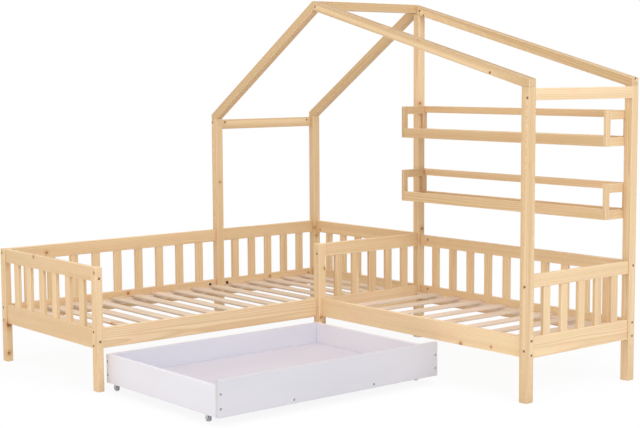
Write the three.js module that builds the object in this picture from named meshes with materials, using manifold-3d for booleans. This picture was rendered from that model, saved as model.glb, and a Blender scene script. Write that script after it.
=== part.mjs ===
// House-shaped pine bed for two children: a long bed and a short bed joined in an L,
// under one lopsided roof frame, with two shelves on the rear side and a drawer on casters.
// Millimetres, Z up. The sleeper's side of the L opens towards +X and -Y.
import * as THREE from 'three';
import { mergeVertices } from 'three/addons/utils/BufferGeometryUtils.js';
import Module from 'manifold-3d';

const wasm = await Module();
wasm.setup();

// Driving sizes
const fit = 0.3; // clearance left wherever two pieces meet
const round = 2.5; // chamfer along the edges of the timber
const post = { side: 45, footDepth: 34 };
const longBed = { length: 2090, width: 960 };
const shortBed = { reach: 1445, width: 760 };
const eave = { left: 1217, right: 1406 };
const ridge = { top: 1840, beamWidth: 45, beamHeight: 45 };
const rafter = { depth: 45 };
const tie = { height: 54, thickness: 22, drop: 6 };
const guard = {
  bottom: 200, top: 584, lowerRail: 95, topRail: 68, shortBedTopRail: 60, thickness: 22, inset: 6,
  balusterWidth: 45, balusterThickness: 18,
};
const balusterCount = { longSide: 9, longEnd: 6, shortEnd: 5, rear: 10 };
const slat = { width: 60, thickness: 10, topBelowRail: 30, batten: 30, battenHeight: 30, housing: 1 };
const slatCount = { longBed: 15, shortBed: 8 };
const shelf = {
  lowerBottom: 777, upperBottom: 1121, height: 168, depth: 174, board: 18,
  lip: 51, rearRail: 45, topRail: 36, frameTop: 42, frameBottom: 42, stile: 30,
};
const drawer = {
  cornerClearance: 7.5, footClearance: 18.5, rearClearance: 60, board: 20, frontHeight: 162,
  sideHeight: 135, bottom: 39, floorRaise: 13, floorThickness: 18, pulledOutShare: 0.989, frontClearance: 1,
};
const caster = {
  wheelRadius: 17, wheelWidth: 12, treadRound: 2, bore: 3.4, axle: 3, sideGap: 1,
  cheek: 2, plateLength: 32, plateWidth: 22, plate: 2, cheekTop: 28, cheekFoot: 12,
  fromFront: 118, fromRear: 36.5, fromSide: 31.5, axleHead: 1.5, headRadius: 4.5,
};
const steps = { wheel: 20, axle: 12 };

// Places: x runs from the left outer face, d is the distance forward of the rear outer face
const x = {
  left: 0,
  leftPost: post.side,
  innerPost: longBed.width - post.side,
  inner: longBed.width,
  rightPost: longBed.width + shortBed.reach - post.side,
  right: longBed.width + shortBed.reach,
};
const d = {
  rear: 0,
  rearPost: post.side,
  innerPost: shortBed.width - post.side,
  inner: shortBed.width,
  footPost: longBed.length - post.footDepth,
  foot: longBed.length,
};
const ridgeX = x.innerPost;
const drawerLength = d.footPost - d.inner - drawer.cornerClearance - drawer.footClearance;
const drawerDepth = longBed.width - drawer.rearClearance;
const slatTop = guard.bottom + guard.lowerRail - slat.topBelowRail;
const frontInset = drawer.board + drawer.frontClearance;

// Roof pitch from the seat on a post to the ridge, for timber of the given depth
function pitch(run, rise, depth) {
  return Math.acos(depth / Math.hypot(run, rise)) - Math.atan2(run, rise);
}
const pitches = {
  left: pitch(ridgeX - x.leftPost, ridge.top - eave.left, rafter.depth),
  right: pitch(x.rightPost - ridgeX, ridge.top - eave.right, rafter.depth),
};

const colours = { pine: 0xe3be92, slat: 0xe6cfb4, paint: 0xe2e0e4, steel: 0x8d8f93, rubber: 0x6d6f73 };
const materials = {
  pine: new THREE.MeshStandardMaterial({ color: colours.pine, roughness: 0.55, metalness: 0 }),
  slat: new THREE.MeshStandardMaterial({ color: colours.slat, roughness: 0.75, metalness: 0 }),
  paint: new THREE.MeshStandardMaterial({ color: colours.paint, roughness: 0.45, metalness: 0 }),
  steel: new THREE.MeshStandardMaterial({ color: colours.steel, roughness: 0.35, metalness: 1 }),
  rubber: new THREE.MeshStandardMaterial({ color: colours.rubber, roughness: 0.7, metalness: 0 }),
};

const bed = new THREE.Group();
bed.position.set(-x.right / 2, longBed.length / 2, 0);

function addMesh(name, geometry, material, parent = bed) {
  const mesh = new THREE.Mesh(geometry, materials[material]);
  mesh.name = name;
  parent.add(mesh);
  return mesh;
}

// Solids for joining and cutting
function toSolid(geometry) {
  const bare = geometry.clone();
  bare.deleteAttribute('normal');
  bare.deleteAttribute('uv');
  const merged = mergeVertices(bare);
  return new wasm.Manifold(new wasm.Mesh({
    numProp: 3,
    vertProperties: new Float32Array(merged.attributes.position.array),
    triVerts: new Uint32Array(merged.index.array),
  }));
}

function toGeometry(solid) {
  const mesh = solid.getMesh();
  const geometry = new THREE.BufferGeometry();
  geometry.setAttribute('position', new THREE.BufferAttribute(mesh.vertProperties, 3));
  geometry.setIndex(new THREE.BufferAttribute(mesh.triVerts, 1));
  geometry.computeVertexNormals();
  return geometry;
}

function joinSolids(geometries) {
  const [first, ...rest] = geometries.map(toSolid);
  return rest.reduce((whole, piece) => whole.add(piece), first);
}

// Timber cut to an outline in the XZ plane, centred on Y, with its long edges chamfered
function timber(points, thickness, holes = []) {
  const shape = new THREE.Shape(points.map(([px, pz]) => new THREE.Vector2(px, pz)));
  for (const hole of holes) {
    shape.holes.push(new THREE.Path(hole.map(([px, pz]) => new THREE.Vector2(px, pz))));
  }
  const geometry = new THREE.ExtrudeGeometry(shape, {
    depth: thickness - 2 * round,
    bevelEnabled: true,
    bevelThickness: round,
    bevelSize: round,
    bevelOffset: -round,
    bevelSegments: 1,
  });
  geometry.rotateX(Math.PI / 2);
  geometry.translate(0, thickness / 2 - round, 0);
  return geometry;
}

function rectangle(x0, x1, z0, z1) {
  return [[x0, z0], [x1, z0], [x1, z1], [x0, z1]];
}

// Straight board along X, centred on its middle in all three directions
function board(length, height, thickness) {
  return timber(rectangle(-length / 2, length / 2, -height / 2, height / 2), thickness);
}

// Board that fills a span of x, d and z; its length follows the longer level direction
function addBoard(name, material, span, parent = bed) {
  const size = { x: span.x[1] - span.x[0], d: span.d[1] - span.d[0], z: span.z[1] - span.z[0] };
  const along = size.x >= size.d;
  const geometry = along ? board(size.x, size.z, size.d) : board(size.d, size.z, size.x);
  const mesh = addMesh(name, geometry, material, parent);
  mesh.rotation.z = along ? 0 : Math.PI / 2;
  mesh.position.set(
    (span.x[0] + span.x[1]) / 2, -(span.d[0] + span.d[1]) / 2, (span.z[0] + span.z[1]) / 2);
  return mesh;
}

// Flat board lying level, its faces up and down
function flatBoard(length, width, thickness) {
  const geometry = board(length, width, thickness);
  geometry.rotateX(Math.PI / 2);
  return geometry;
}

// Posts
function addPost(name, x0, d0, top, depth = post.side) {
  addBoard(name, 'pine', { x: [x0, x0 + post.side], d: [d0, d0 + depth], z: [0, top] });
}

function undersideAt(px) {
  return eave.right + (x.rightPost - px) * Math.tan(pitches.right);
}

function addPosts() {
  addPost('post_foot_left', x.left, d.footPost, guard.top, post.footDepth);
  addPost('post_foot_right', x.innerPost, d.footPost, guard.top, post.footDepth);
  addPost('post_inner_corner', x.innerPost, d.innerPost, guard.top);
  addPost('post_left_front', x.left, d.innerPost, eave.left - fit);
  addPost('post_left_rear', x.left, d.rear, eave.left - fit);
  addPost('post_right_front', x.rightPost, d.innerPost, eave.right - fit);
  addPost('post_right_rear', x.rightPost, d.rear, eave.right - fit);
  const outline = [
    [x.innerPost, 0],
    [x.inner, 0],
    [x.inner, undersideAt(x.inner) - 2 * fit],
    [x.innerPost, undersideAt(x.innerPost) - 2 * fit],
  ];
  const ridgePost = addMesh('post_rear_ridge', timber(outline, post.side), 'pine');
  ridgePost.position.y = -(d.rear + post.side / 2);
}

// Roof frame: each rafter has a level seat on its post, a plumb end and a plumb cut at the ridge
function rafterOutline(outerX, postX, seat, angle, ridgeEnd) {
  const towards = Math.sign(ridgeEnd - outerX);
  const rise = (px) => (px - postX) * towards * Math.tan(angle);
  const thick = rafter.depth / Math.cos(angle);
  const corners = [
    [outerX, seat],
    [postX, seat],
    [ridgeEnd, seat + rise(ridgeEnd)],
    [ridgeEnd, seat + rise(ridgeEnd) + thick],
    [outerX, seat + rise(outerX) + thick],
  ];
  return towards > 0 ? corners : corners.reverse();
}

function addRoof() {
  const gables = { front: d.innerPost, rear: d.rear };
  for (const [name, d0] of Object.entries(gables)) {
    const left = rafterOutline(x.left, x.leftPost, eave.left, pitches.left, ridgeX - fit / 2);
    const right = rafterOutline(x.right, x.rightPost, eave.right, pitches.right, ridgeX + fit / 2);
    addMesh(`rafter_${name}_left`, timber(left, post.side), 'pine').position.y = -(d0 + post.side / 2);
    addMesh(`rafter_${name}_right`, timber(right, post.side), 'pine').position.y = -(d0 + post.side / 2);
  }
  addBoard('ridge_beam', 'pine', {
    x: [ridgeX - ridge.beamWidth / 2, ridgeX + ridge.beamWidth / 2],
    d: [d.rearPost + fit, d.innerPost - fit],
    z: [ridge.top - ridge.beamHeight, ridge.top],
  });
  const between = [d.rearPost + fit, d.innerPost - fit];
  const sides = [
    ['tie_beam_left', [x.left, x.left + tie.thickness], eave.left],
    ['tie_beam_right', [x.right - tie.thickness, x.right], eave.right],
  ];
  for (const [name, acrossX, seat] of sides) {
    const top = seat - tie.drop;
    addBoard(name, 'pine', { x: acrossX, d: between, z: [top - tie.height, top] });
  }
}

// Guard panels: balusters glued in a deep lower rail, with a separate top rail
function balusterComb(length, count) {
  const railHeight = guard.lowerRail;
  const pieces = [board(length, railHeight, guard.thickness)];
  const gapWidth = (length - count * guard.balusterWidth) / (count + 1);
  const top = guard.top - guard.topRail - fit - guard.bottom - railHeight / 2;
  for (let i = 0; i < count; i++) {
    const x0 = -length / 2 + gapWidth + i * (guard.balusterWidth + gapWidth);
    const outline = rectangle(x0, x0 + guard.balusterWidth, 0, top);
    pieces.push(timber(outline, guard.balusterThickness));
  }
  return toGeometry(joinSolids(pieces));
}

// A guard runs along x or d between two posts, its faces at the given level across
function addGuard(name, run, from, to, across, count, topRail = guard.topRail) {
  const length = to - from - 2 * fit;
  const middle = (from + to) / 2;
  const turned = run === 'd';
  const place = (mesh, z) => {
    mesh.rotation.z = turned ? Math.PI / 2 : 0;
    mesh.position.set(turned ? across : middle, turned ? -middle : -across, z);
  };
  const comb = addMesh(`guard_${name}_balusters`, balusterComb(length, count), 'pine');
  place(comb, guard.bottom + guard.lowerRail / 2);
  const rail = addMesh(`guard_${name}_top_rail`, board(length, topRail, guard.thickness), 'pine');
  place(rail, guard.top - guard.topRail + topRail / 2);
}

function addGuards() {
  const middle = guard.inset + guard.thickness / 2;
  addGuard('foot', 'x', x.leftPost, x.innerPost, d.foot - middle, balusterCount.longEnd);
  addGuard('left_front', 'd', d.inner, d.footPost, x.left + middle, balusterCount.longSide);
  addGuard('left_rear', 'd', d.rearPost, d.innerPost, x.left + middle, balusterCount.shortEnd);
  addGuard('rear_left', 'x', x.leftPost, x.innerPost, d.rear + middle, balusterCount.longEnd);
  addGuard('rear_right', 'x', x.inner, x.rightPost, d.rear + middle, balusterCount.rear,
    guard.shortBedTopRail);
  addGuard('right', 'd', d.rearPost, d.innerPost, x.right - middle, balusterCount.shortEnd,
    guard.shortBedTopRail);
  addGuard('divider', 'd', d.rearPost, d.innerPost, x.inner - middle, balusterCount.shortEnd);
}

// Open sides of the two beds: one low rail each, set back so that the drawer front lies flush
function addFrontRails() {
  const z = [guard.bottom, guard.bottom + guard.lowerRail];
  const backFace = frontInset + guard.thickness;
  addBoard('front_rail_long_bed', 'pine', {
    x: [x.inner - backFace, x.inner - frontInset],
    d: [d.inner + fit, d.footPost - fit],
    z,
  });
  addBoard('front_rail_short_bed', 'pine', {
    x: [x.inner + fit, x.rightPost - fit],
    d: [d.inner - backFace, d.inner - frontInset],
    z,
  });
}

// Slatted bases: slats screwed down on bearing battens that run along the rails
function slatsAcross(from, to, count, makeSlat) {
  const gapWidth = (to - from - count * slat.width) / (count + 1);
  return Array.from({ length: count }, (_, i) =>
    makeSlat(from + gapWidth + slat.width / 2 + i * (slat.width + gapWidth)));
}

function boxGeometry(x0, x1, d0, d1, z0, z1) {
  const geometry = new THREE.BoxGeometry(x1 - x0, d1 - d0, z1 - z0);
  geometry.translate((x0 + x1) / 2, -(d0 + d1) / 2, (z0 + z1) / 2);
  return geometry;
}

function batten(x0, x1, d0, d1) {
  const along = x1 - x0 >= d1 - d0;
  const geometry = along
    ? board(x1 - x0, slat.battenHeight, d1 - d0)
    : board(d1 - d0, slat.battenHeight, x1 - x0);
  if (!along) geometry.rotateZ(Math.PI / 2);
  const top = slatTop - slat.thickness + slat.housing;
  geometry.translate((x0 + x1) / 2, -(d0 + d1) / 2, top - slat.battenHeight / 2);
  return geometry;
}

function addLongBase() {
  const railFace = guard.inset + guard.thickness + fit;
  const left = x.left + railFace;
  const rearRight = x.inner - railFace;
  const frontRight = x.inner - frontInset - guard.thickness - fit;
  const slatAt = (place) => {
    const right = place < d.innerPost ? rearRight : frontRight;
    const geometry = flatBoard(right - left, slat.width, slat.thickness);
    geometry.translate((left + right) / 2, -place, slatTop - slat.thickness / 2);
    return geometry;
  };
  const ends = [d.rear + railFace, d.foot - railFace];
  const pieces = [
    ...slatsAcross(...ends, slatCount.longBed, slatAt),
    batten(left, left + slat.batten, ...ends),
    batten(frontRight - slat.batten, frontRight, d.innerPost, ends[1]),
    batten(rearRight - slat.batten, rearRight, ends[0], d.innerPost),
  ];
  const postPlaces = [];
  for (const px of [x.left, x.innerPost]) {
    for (const pd of [d.rear, d.innerPost, d.footPost]) postPlaces.push([px, pd]);
  }
  const base = postPlaces.reduce((whole, [px, pd]) => whole.subtract(toSolid(boxGeometry(
    px - fit, px + post.side + fit, pd - fit, pd + post.side + fit, 0, guard.top))), joinSolids(pieces));
  addMesh('slat_base_long_bed', toGeometry(base), 'slat');
}

function addShortBase() {
  const d0 = d.rear + guard.inset + guard.thickness + fit;
  const d1 = d.inner - frontInset - guard.thickness - fit;
  const slatAt = (place) => {
    const geometry = flatBoard(d1 - d0, slat.width, slat.thickness);
    geometry.rotateZ(Math.PI / 2);
    geometry.translate(place, -(d0 + d1) / 2, slatTop - slat.thickness / 2);
    return geometry;
  };
  const x0 = x.inner + fit;
  const x1 = x.rightPost - fit;
  const pieces = [
    ...slatsAcross(x0, x1, slatCount.shortBed, slatAt),
    batten(x0, x1, d0, d0 + slat.batten),
    batten(x0, x1, d1 - slat.batten, d1),
  ];
  addMesh('slat_base_short_bed', toGeometry(joinSolids(pieces)), 'slat');
}

// Shelves: a trough between two open end frames that are screwed to the rear posts
function endFrameOutline() {
  return rectangle(-shelf.depth / 2, shelf.depth / 2, 0, shelf.height);
}

function endFrameHole() {
  const half = shelf.depth / 2 - shelf.stile;
  return rectangle(-half, half, shelf.frameBottom, shelf.height - shelf.frameTop);
}

function addShelf(name, bottom) {
  const trough = new THREE.Group();
  trough.position.z = bottom;
  bed.add(trough);
  const ends = {
    left: x.inner + fit + shelf.board / 2,
    right: x.rightPost - fit - shelf.board / 2,
  };
  for (const [side, place] of Object.entries(ends)) {
    const geometry = timber(endFrameOutline(), shelf.board, [endFrameHole()]);
    const frame = addMesh(`shelf_${name}_end_${side}`, geometry, 'pine', trough);
    frame.rotation.z = Math.PI / 2;
    frame.position.set(place, -shelf.depth / 2, 0);
  }
  const inside = [ends.left + shelf.board / 2 + fit, ends.right - shelf.board / 2 - fit];
  const front = shelf.depth - shelf.board;
  addBoard(`shelf_${name}_front_lip`, 'pine',
    { x: inside, d: [front, shelf.depth], z: [0, shelf.lip] }, trough);
  addBoard(`shelf_${name}_rear_rail`, 'pine',
    { x: inside, d: [0, shelf.board], z: [0, shelf.rearRail] }, trough);
  addBoard(`shelf_${name}_top_rail`, 'pine',
    { x: inside, d: [0, shelf.board], z: [shelf.height - shelf.topRail, shelf.height] }, trough);
  const floorWidth = front - shelf.board - 2 * fit;
  const floor = addMesh(
    `shelf_${name}_floor`, flatBoard(inside[1] - inside[0], floorWidth, shelf.board), 'pine', trough);
  floor.position.set((inside[0] + inside[1]) / 2, -(shelf.board + front) / 2, shelf.board / 2);
}

// Drawer on four casters, pulled out from under the long bed
const drawerPlace = {
  x: x.inner - drawerDepth * (1 - drawer.pulledOutShare),
  d: d.inner + drawer.cornerClearance + drawerLength / 2,
};
const drawerGroup = new THREE.Group();
drawerGroup.position.set(drawerPlace.x, -drawerPlace.d, 0);
bed.add(drawerGroup);

function addDrawerBox() {
  const half = drawerLength / 2;
  const inner = half - drawer.board;
  const front = drawerDepth - drawer.board;
  const sideTop = drawer.bottom + drawer.sideHeight;
  addBoard('drawer_front', 'paint', {
    x: [front, drawerDepth],
    d: [-half, half],
    z: [drawer.bottom, drawer.bottom + drawer.frontHeight],
  }, drawerGroup);
  const sides = { rear: [-half, -inner], foot: [inner, half] };
  for (const [name, span] of Object.entries(sides)) {
    addBoard(`drawer_side_${name}`, 'paint',
      { x: [0, front - fit], d: span, z: [drawer.bottom, sideTop] }, drawerGroup);
  }
  addBoard('drawer_back', 'paint', {
    x: [0, drawer.board],
    d: [-inner + fit, inner - fit],
    z: [drawer.bottom, sideTop],
  }, drawerGroup);
  const floorX = [drawer.board + fit, front - fit];
  const floor = addMesh('drawer_floor',
    flatBoard(floorX[1] - floorX[0], 2 * (inner - fit), drawer.floorThickness), 'paint', drawerGroup);
  floor.position.set(
    (floorX[0] + floorX[1]) / 2, 0, drawer.bottom + drawer.floorRaise + drawer.floorThickness / 2);
}

// Fixed caster: a screw plate, two tapered cheeks and a riveted axle, and a wheel between them
function casterFork(height) {
  const plateBottom = height - caster.plate;
  const plate = new THREE.BoxGeometry(caster.plateLength, caster.plateWidth, caster.plate);
  plate.translate(0, 0, height - caster.plate / 2);
  const outline = [
    [-caster.cheekFoot / 2, caster.wheelRadius - caster.cheekFoot / 2],
    [caster.cheekFoot / 2, caster.wheelRadius - caster.cheekFoot / 2],
    [caster.cheekTop / 2, plateBottom + caster.plate / 2],
    [-caster.cheekTop / 2, plateBottom + caster.plate / 2],
  ];
  const shape = new THREE.Shape(outline.map(([px, pz]) => new THREE.Vector2(px, pz)));
  const offset = caster.wheelWidth / 2 + caster.sideGap;
  const cheeks = [-offset, offset + caster.cheek].map((side) => {
    const cheek = new THREE.ExtrudeGeometry(shape, { depth: caster.cheek, bevelEnabled: false });
    cheek.rotateX(Math.PI / 2);
    cheek.translate(0, side, 0);
    return cheek;
  });
  const axleLength = 2 * (offset + caster.cheek);
  const axle = new THREE.CylinderGeometry(caster.axle, caster.axle, axleLength, steps.axle);
  axle.translate(0, 0, caster.wheelRadius);
  const heads = [-1, 1].map((side) => {
    const head = new THREE.CylinderGeometry(
      caster.headRadius, caster.headRadius, 2 * caster.axleHead, steps.axle);
    head.translate(0, side * (axleLength / 2), caster.wheelRadius);
    return head;
  });
  return toGeometry(joinSolids([plate, ...cheeks, axle, ...heads]));
}

function casterWheel() {
  const half = caster.wheelWidth / 2;
  const rim = caster.wheelRadius - caster.treadRound;
  const profile = [
    [caster.bore, -half], [rim, -half], [caster.wheelRadius, -half + caster.treadRound],
    [caster.wheelRadius, half - caster.treadRound], [rim, half], [caster.bore, half],
    [caster.bore, -half],
  ];
  return new THREE.LatheGeometry(
    profile.map(([radius, along]) => new THREE.Vector2(radius, along)), steps.wheel);
}

function addCasters() {
  const height = drawer.bottom + drawer.floorRaise - fit;
  const alongX = { inner: caster.fromRear, outer: drawerDepth - caster.fromFront };
  const alongD = { rear: -(drawerLength / 2 - caster.fromSide), foot: drawerLength / 2 - caster.fromSide };
  for (const [end, px] of Object.entries(alongX)) {
    for (const [side, pd] of Object.entries(alongD)) {
      const fork = addMesh(`caster_fork_${side}_${end}`, casterFork(height), 'steel', drawerGroup);
      fork.position.set(px, -pd, 0);
      const wheel = addMesh(`caster_wheel_${side}_${end}`, casterWheel(), 'rubber', drawerGroup);
      wheel.position.set(px, -pd, caster.wheelRadius);
    }
  }
}

addPosts();
addRoof();
addGuards();
addFrontRails();
addLongBase();
addShortBase();
addShelf('lower', shelf.lowerBottom);
addShelf('upper', shelf.upperBottom);
addDrawerBox();
addCasters();

export default bed;
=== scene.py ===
import math
import zlib

import bmesh
import bpy
from mathutils import Matrix, Vector


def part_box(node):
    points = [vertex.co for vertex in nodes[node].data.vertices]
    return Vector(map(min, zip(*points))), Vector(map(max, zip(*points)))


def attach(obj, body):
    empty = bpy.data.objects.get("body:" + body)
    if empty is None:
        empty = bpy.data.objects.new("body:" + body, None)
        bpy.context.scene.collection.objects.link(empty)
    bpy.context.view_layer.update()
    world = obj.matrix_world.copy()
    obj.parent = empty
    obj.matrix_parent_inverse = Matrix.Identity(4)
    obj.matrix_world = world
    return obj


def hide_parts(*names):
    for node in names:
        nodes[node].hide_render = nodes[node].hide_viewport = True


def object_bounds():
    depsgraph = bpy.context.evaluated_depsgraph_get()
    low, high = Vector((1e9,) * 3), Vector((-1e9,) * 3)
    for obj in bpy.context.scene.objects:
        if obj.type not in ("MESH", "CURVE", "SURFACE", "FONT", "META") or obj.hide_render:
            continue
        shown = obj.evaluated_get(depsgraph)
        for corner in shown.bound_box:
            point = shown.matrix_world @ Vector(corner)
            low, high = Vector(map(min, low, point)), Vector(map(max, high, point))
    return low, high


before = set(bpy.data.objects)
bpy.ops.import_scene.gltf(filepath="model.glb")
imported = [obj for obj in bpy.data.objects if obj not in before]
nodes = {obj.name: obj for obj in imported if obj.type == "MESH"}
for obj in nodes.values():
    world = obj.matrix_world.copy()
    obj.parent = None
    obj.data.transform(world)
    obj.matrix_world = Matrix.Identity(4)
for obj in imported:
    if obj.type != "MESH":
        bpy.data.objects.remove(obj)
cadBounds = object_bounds()
scene = bpy.context.scene
print("frame:", len(nodes), "nodes")


# Node trees

def put(tree, kind, inputs=None, **settings):
    made = tree.nodes.new(kind)
    for key, value in settings.items():
        setattr(made, key, value)
    for key, value in (inputs or {}).items():
        socket = made.inputs[key]
        if isinstance(value, bpy.types.NodeSocket):
            tree.links.new(value, socket)
        else:
            socket.default_value = value
    return made


def math1(tree, operation, *values):
    return put(tree, "ShaderNodeMath", dict(enumerate(values)), operation=operation).outputs[0]


def vector3(tree, operation, *values):
    made = put(tree, "ShaderNodeVectorMath", dict(enumerate(values)), operation=operation)
    return made.outputs["Value" if operation in ("LENGTH", "DISTANCE") else "Vector"]


def blend(tree, factor, first, second, mode="MIX"):
    made = put(tree, "ShaderNodeMix", {0: factor, 6: first, 7: second}, data_type="RGBA", blend_type=mode)
    return made.outputs[2]


def ramp(tree, value, low, high, start=0.0, end=1.0):
    inputs = {"Value": value, "From Min": low, "From Max": high, "To Min": start, "To Max": end}
    made = put(tree, "ShaderNodeMapRange", inputs, interpolation_type="SMOOTHSTEP")
    return made.outputs["Result"]


def noise(tree, vector, scale=1.0, detail=2.0, roughness=0.5):
    inputs = {"Vector": vector, "Scale": scale, "Detail": detail, "Roughness": roughness}
    return put(tree, "ShaderNodeTexNoise", inputs)


def attribute(tree, name, output="Fac"):
    return put(tree, "ShaderNodeAttribute", attribute_name=name).outputs[output]


def objectPlace(tree):
    return put(tree, "ShaderNodeTexCoord").outputs["Object"]


def named(tree, name, kind):
    return put(tree, "GeometryNodeInputNamedAttribute", {"Name": name}, data_type=kind).outputs[0]


def stored(tree, geometry, name, value, kind, domain="POINT"):
    inputs = {"Geometry": geometry, "Name": name, "Value": value}
    made = put(tree, "GeometryNodeStoreNamedAttribute", inputs, data_type=kind, domain=domain)
    return made.outputs[0]


def dressed(tree, geometry, finish):
    return put(tree, "GeometryNodeSetMaterial", {"Geometry": geometry, "Material": finish}).outputs[0]


def bumpUp(tree, shader, height, strength, distance):
    bump = put(tree, "ShaderNodeBump", {"Height": height, "Strength": strength, "Distance": distance})
    tree.links.new(bump.outputs[0], shader.inputs["Normal"])


def group(name, kind, inputs, outputs):
    tree = bpy.data.node_groups.new(name, kind)
    for side, sockets in (("INPUT", inputs), ("OUTPUT", outputs)):
        for label, (socketType, value) in sockets.items():
            socket = tree.interface.new_socket(label, in_out=side, socket_type=socketType)
            if value is not None:
                socket.default_value = value
    return tree, put(tree, "NodeGroupInput").outputs, put(tree, "NodeGroupOutput").inputs


def material(name):
    made = bpy.data.materials.new(name)
    made.use_nodes = True
    made.node_tree.nodes.clear()
    shader = put(made.node_tree, "ShaderNodeBsdfPrincipled")
    output = put(made.node_tree, "ShaderNodeOutputMaterial", {"Surface": shader.outputs[0]})
    output.is_active_output = True
    return made, made.node_tree, shader


# The figure of sawn pine, read from each board's own coordinates: x along the grain, in metres
figure = {
    "knotCells": (2.1, 9.0, 4.0),  # cells per metre along, across and through the board
    "knotScatter": 0.9,
    "knotShape": (0.7, 1.0, 0.12),
    "knotChance": 0.94,  # the higher, the fewer knots
    "knotSizes": (0.3, 0.75),  # shares of the knot size: the smallest, and how much more others are
    "knotEdge": (1.05, 0.7),
    "haloEdge": (4.0, 0.9),
    "knotPush": 0.006,  # how far a knot pushes the rings aside
    "wobble": 0.016,
    "wobbleScale": (1.3, 7.0, 7.0),
    "ringRise": (0.3, 0.88),  # shares of a ring over which it darkens and clears again
    "ringFall": (1.0, 0.93),
    "streakScale": (0.9, 34.0, 34.0),
    "fibreScale": (14.0, 650.0, 650.0),
    "patchScale": (5.0, 14.0, 14.0),
}


def figureGroup():
    tree, entry, out = group("pineFigure", "ShaderNodeTree", {
        "Grain": ("NodeSocketVector", None),
        "Ring Width": ("NodeSocketFloat", 0.005),
        "Knot Size": ("NodeSocketFloat", 0.009),
    }, {
        label: ("NodeSocketFloat", None)
        for label in ("Rings", "Streaks", "Fibres", "Knot", "Halo", "Patches")
    })
    grain = entry["Grain"]
    cells = vector3(tree, "MULTIPLY", grain, figure["knotCells"])
    voronoi = put(tree, "ShaderNodeTexVoronoi", {
        "Vector": cells, "Scale": 1.0, "Randomness": figure["knotScatter"]})
    away = vector3(tree, "SUBTRACT", cells, voronoi.outputs["Position"])
    away = vector3(tree, "DIVIDE", away, figure["knotCells"])
    away = vector3(tree, "MULTIPLY", away, figure["knotShape"])
    luck = put(tree, "ShaderNodeSeparateColor", {0: voronoi.outputs["Color"]})
    present = math1(tree, "GREATER_THAN", luck.outputs[0], figure["knotChance"])
    smallest, varied = figure["knotSizes"]
    size = math1(tree, "MULTIPLY_ADD", luck.outputs[1], varied, smallest)
    size = math1(tree, "MULTIPLY", size, entry["Knot Size"])
    reach = math1(tree, "DIVIDE", vector3(tree, "LENGTH", away), size)
    knot = math1(tree, "MULTIPLY", ramp(tree, reach, *figure["knotEdge"]), present)
    halo = math1(tree, "MULTIPLY", ramp(tree, reach, *figure["haloEdge"]), present)

    wobble = noise(tree, vector3(tree, "MULTIPLY", grain, figure["wobbleScale"]), detail=1.5)
    shift = vector3(tree, "SUBTRACT", wobble.outputs["Color"], (0.5, 0.5, 0.5))
    shift = vector3(tree, "MULTIPLY", shift, (0.0, 2 * figure["wobble"], 2 * figure["wobble"]))
    bent = vector3(tree, "MULTIPLY", vector3(tree, "ADD", grain, shift), (0.0, 1.0, 1.0))
    radius = math1(tree, "MULTIPLY_ADD", halo, figure["knotPush"], vector3(tree, "LENGTH", bent))
    phase = math1(tree, "FRACT", math1(tree, "DIVIDE", radius, entry["Ring Width"]))
    late = math1(
        tree, "MULTIPLY", ramp(tree, phase, *figure["ringRise"]), ramp(tree, phase, *figure["ringFall"]))

    streaks = noise(tree, vector3(tree, "MULTIPLY", grain, figure["streakScale"]), detail=3.0)
    fibres = noise(tree, vector3(tree, "MULTIPLY", grain, figure["fibreScale"]), detail=2.0)
    patches = noise(tree, vector3(tree, "MULTIPLY", grain, figure["patchScale"]), detail=1.0)
    results = (late, streaks.outputs[0], fibres.outputs[0], knot, halo, patches.outputs[0])
    for socket, value in zip(out, results):
        tree.links.new(value, socket)
    return tree


# A knot at a set place on the bed, in object coordinates
setKnot = {"ragged": 0.006, "raggedScale": 90.0, "edge": (1.1, 0.7), "halo": (3.2, 0.9)}


def knotGroup():
    tree, entry, out = group("placedKnot", "ShaderNodeTree", {
        "Centre": ("NodeSocketVector", None),
        "Radius": ("NodeSocketFloat", 0.008),
        "Knot": ("NodeSocketFloat", None),
        "Halo": ("NodeSocketFloat", None),
    }, {
        "Knot": ("NodeSocketFloat", None),
        "Halo": ("NodeSocketFloat", None),
    })
    here = objectPlace(tree)
    ragged = noise(tree, here, scale=setKnot["raggedScale"], detail=1.0)
    ragged = vector3(tree, "SUBTRACT", ragged.outputs["Color"], (0.5, 0.5, 0.5))
    ragged = vector3(tree, "MULTIPLY", ragged, (setKnot["ragged"],) * 3)
    reach = vector3(tree, "DISTANCE", vector3(tree, "ADD", here, ragged), entry["Centre"])
    reach = math1(tree, "DIVIDE", reach, entry["Radius"])
    knot = math1(tree, "MAXIMUM", ramp(tree, reach, *setKnot["edge"]), entry["Knot"])
    halo = math1(tree, "MAXIMUM", ramp(tree, reach, *setKnot["halo"]), entry["Halo"])
    tree.links.new(knot, out["Knot"])
    tree.links.new(halo, out["Halo"])
    return tree


def millimetres(x, d, z):
    return (x / 1000 - cadSize.x / 2, cadSize.y / 2 - d / 1000, z / 1000)


cadSize = Vector(cadBounds[1]) - Vector(cadBounds[0])

# Knots that show in the picture: from the left face, forward of the rear face, up; radius, in mm
placedKnots = [
    (45, 2080, 44, 9), (45, 2075, 193, 16), (945, 2090, 559, 6), (346, 2086, 575, 7),
    (28, 1841, 543, 8), (28, 1351, 276, 8), (28, 372, 276, 7), (45, 43, 543, 7),
    (45, 28, 493, 8), (45, 31, 424, 7), (45, 738, 856, 6), (960, 37, 1303, 8),
    (960, 19, 610, 10), (960, 720, 455, 7), (960, 749, 196, 7), (960, 730, 160, 7),
    (1705, 760, 1630, 7), (1711, 45, 937, 5), (1976, 739, 206, 8), (2169, 739, 221, 5),
]

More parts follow.
